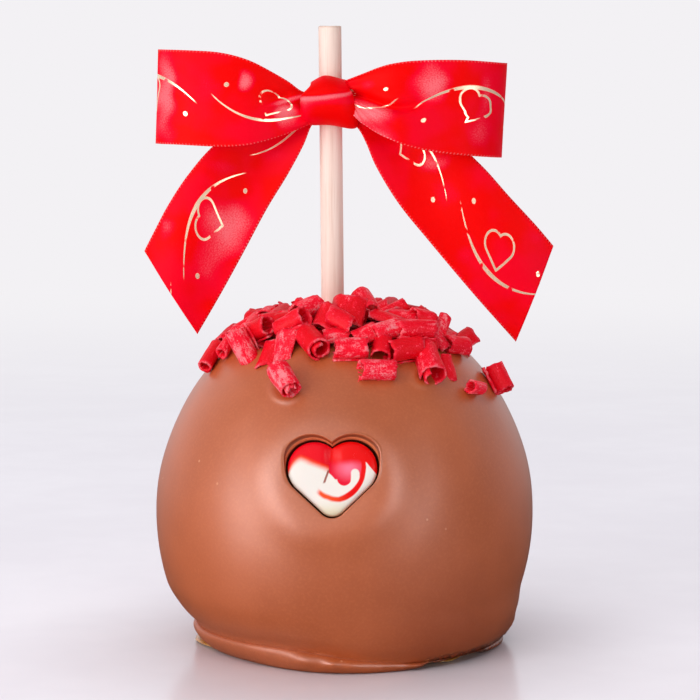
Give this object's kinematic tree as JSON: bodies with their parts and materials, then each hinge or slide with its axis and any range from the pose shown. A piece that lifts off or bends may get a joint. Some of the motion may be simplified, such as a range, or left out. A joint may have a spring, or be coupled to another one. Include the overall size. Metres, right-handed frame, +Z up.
{
  "type": "chocolate caramel apple",
  "caption": "Caramel apple coated in milk chocolate, with a heart-shaped candy window, a crown of red chocolate curls, a wooden stick and a red satin bow.",
  "frame": {"origin": "on the floor under the middle of the apple", "axes": "+Z up along the stick, -Y towards the front with the heart window, +X to the right seen from the front"},
  "size_m": [0.1101, 0.1007, 0.164],
  "materials": {
    "milk_chocolate": "smooth semi-gloss milk chocolate",
    "caramel": "glossy translucent amber caramel",
    "candy": "glossy red and white marbled chocolate",
    "red_chocolate": "dry ridged red chocolate shavings",
    "birch_wood": "plain sanded birch dowel",
    "red_satin": "single-face red satin ribbon"
  },
  "bodies": {
    "root": {"coated_apple": "milk_chocolate", "caramel_base": "caramel", "candy_heart": "candy", "shavings": "red_chocolate", "stray_curl_front": "red_chocolate", "stray_curl_small": "red_chocolate", "stray_curl_large": "red_chocolate", "stick": "birch_wood", "ribbon_bow": "red_satin"}
  },
  "joints": []
}
